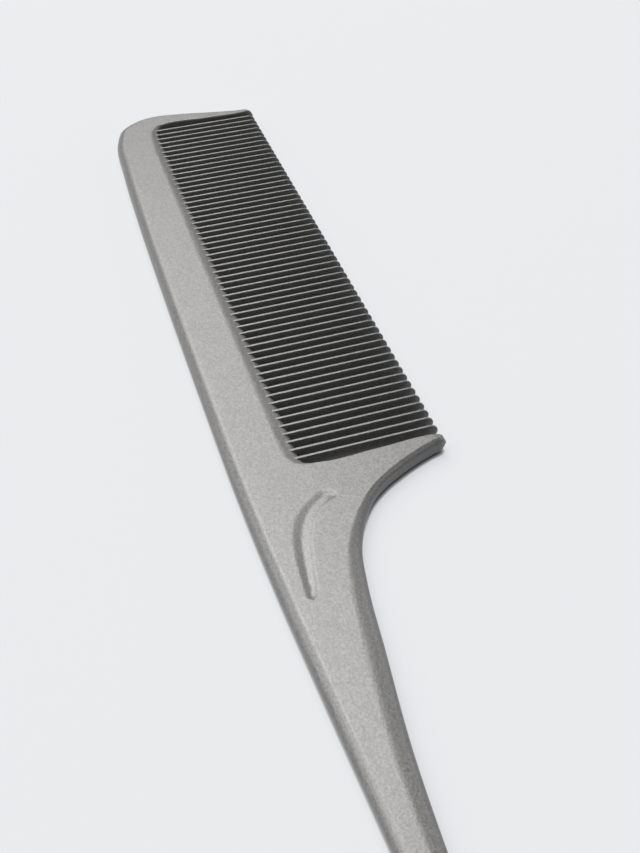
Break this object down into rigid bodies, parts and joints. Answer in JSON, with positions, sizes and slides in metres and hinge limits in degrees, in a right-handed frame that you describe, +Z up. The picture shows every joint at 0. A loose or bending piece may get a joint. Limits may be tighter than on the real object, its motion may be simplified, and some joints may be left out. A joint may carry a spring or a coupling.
{
  "type": "rat tail comb",
  "caption": "Flat one-piece hairdressing comb: straight back, long row of fine teeth between end guard teeth, swept neck with a crescent thumb recess, slender rounded tail.",
  "frame": {"origin": "centre of the comb's bounding box, on the plane it lies on", "axes": "+X along the length towards the far end of the head, -Y the way the teeth point, +Z up out of the face with the thumb recess"},
  "size_m": [0.215, 0.03, 0.003],
  "materials": {
    "moulding": "dark grey fibre-filled plastic with an even, fine spark-eroded texture and a broad soft sheen"
  },
  "bodies": {
    "root": {"back_and_far_guard": "moulding", "shoulder_and_near_guard": "moulding", "tail": "moulding", "tooth_01": "moulding", "tooth_02": "moulding", "tooth_03": "moulding", "tooth_04": "moulding", "tooth_05": "moulding", "tooth_06": "moulding", "tooth_07": "moulding", "tooth_08": "moulding", "tooth_09": "moulding", "tooth_10": "moulding", "tooth_11": "moulding", "tooth_12": "moulding", "tooth_13": "moulding", "tooth_14": "moulding", "tooth_15": "moulding", "tooth_16": "moulding", "tooth_17": "moulding", "tooth_18": "moulding", "tooth_19": "moulding", "tooth_20": "moulding", "tooth_21": "moulding", "tooth_22": "moulding", "tooth_23": "moulding", "tooth_24": "moulding", "tooth_25": "moulding", "tooth_26": "moulding", "tooth_27": "moulding", "tooth_28": "moulding", "tooth_29": "moulding", "tooth_30": "moulding", "tooth_31": "moulding", "tooth_32": "moulding", "tooth_33": "moulding", "tooth_34": "moulding", "tooth_35": "moulding", "tooth_36": "moulding", "tooth_37": "moulding", "tooth_38": "moulding", "tooth_39": "moulding", "tooth_40": "moulding", "tooth_41": "moulding", "tooth_42": "moulding", "tooth_43": "moulding", "tooth_44": "moulding", "tooth_45": "moulding", "tooth_46": "moulding", "tooth_47": "moulding", "tooth_48": "moulding", "tooth_49": "moulding", "tooth_50": "moulding", "tooth_51": "moulding", "tooth_52": "moulding", "tooth_53": "moulding", "tooth_54": "moulding", "tooth_55": "moulding", "tooth_56": "moulding", "tooth_57": "moulding"}
  },
  "joints": []
}
